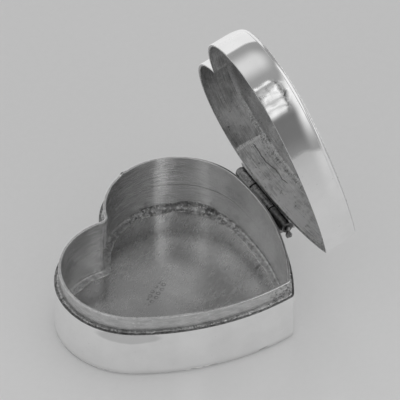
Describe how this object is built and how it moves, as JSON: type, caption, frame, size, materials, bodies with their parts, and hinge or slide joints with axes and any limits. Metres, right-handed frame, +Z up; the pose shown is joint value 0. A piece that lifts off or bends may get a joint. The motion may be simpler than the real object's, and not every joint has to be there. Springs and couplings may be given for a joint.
{
  "type": "heart-shaped trinket box",
  "caption": "Heart-shaped sheet-silver trinket box: deep base with an inner collar, and a domed lid on a three-knuckle pin hinge along one flank.",
  "frame": {"origin": "on the table plane under the box, halfway between the centres of the heart's two lobes", "axes": "+Z up, -Y towards the point of the heart, +Y towards the cleft, +X towards the flank with the hinge"},
  "size_m": [0.0545, 0.047, 0.053],
  "materials": {
    "polished_silver": "polished sterling silver",
    "satin_silver": "satin, brushed along the sheet",
    "tarnished_silver": "darkened, uneven"
  },
  "bodies": {
    "base": {"base_floor": "polished_silver", "base_band": "polished_silver", "collar_band": "satin_silver", "base_hinge_leaf": "tarnished_silver", "front_knuckle": "tarnished_silver", "rear_knuckle": "tarnished_silver", "hinge_pin": "tarnished_silver"},
    "lid": {"lid_band": "polished_silver", "lid_top": "polished_silver", "lid_hinge_leaf": "tarnished_silver", "lid_knuckle": "tarnished_silver"}
  },
  "joints": [
    {"name": "lid_hinge", "type": "hinge", "parent": "base", "child": "lid", "pos_m": [0.0187, -0.01324, 0.0091], "axis": [0.5779, 0.8161, 0], "range_deg": [-74.3, 30.2]}
  ]
}
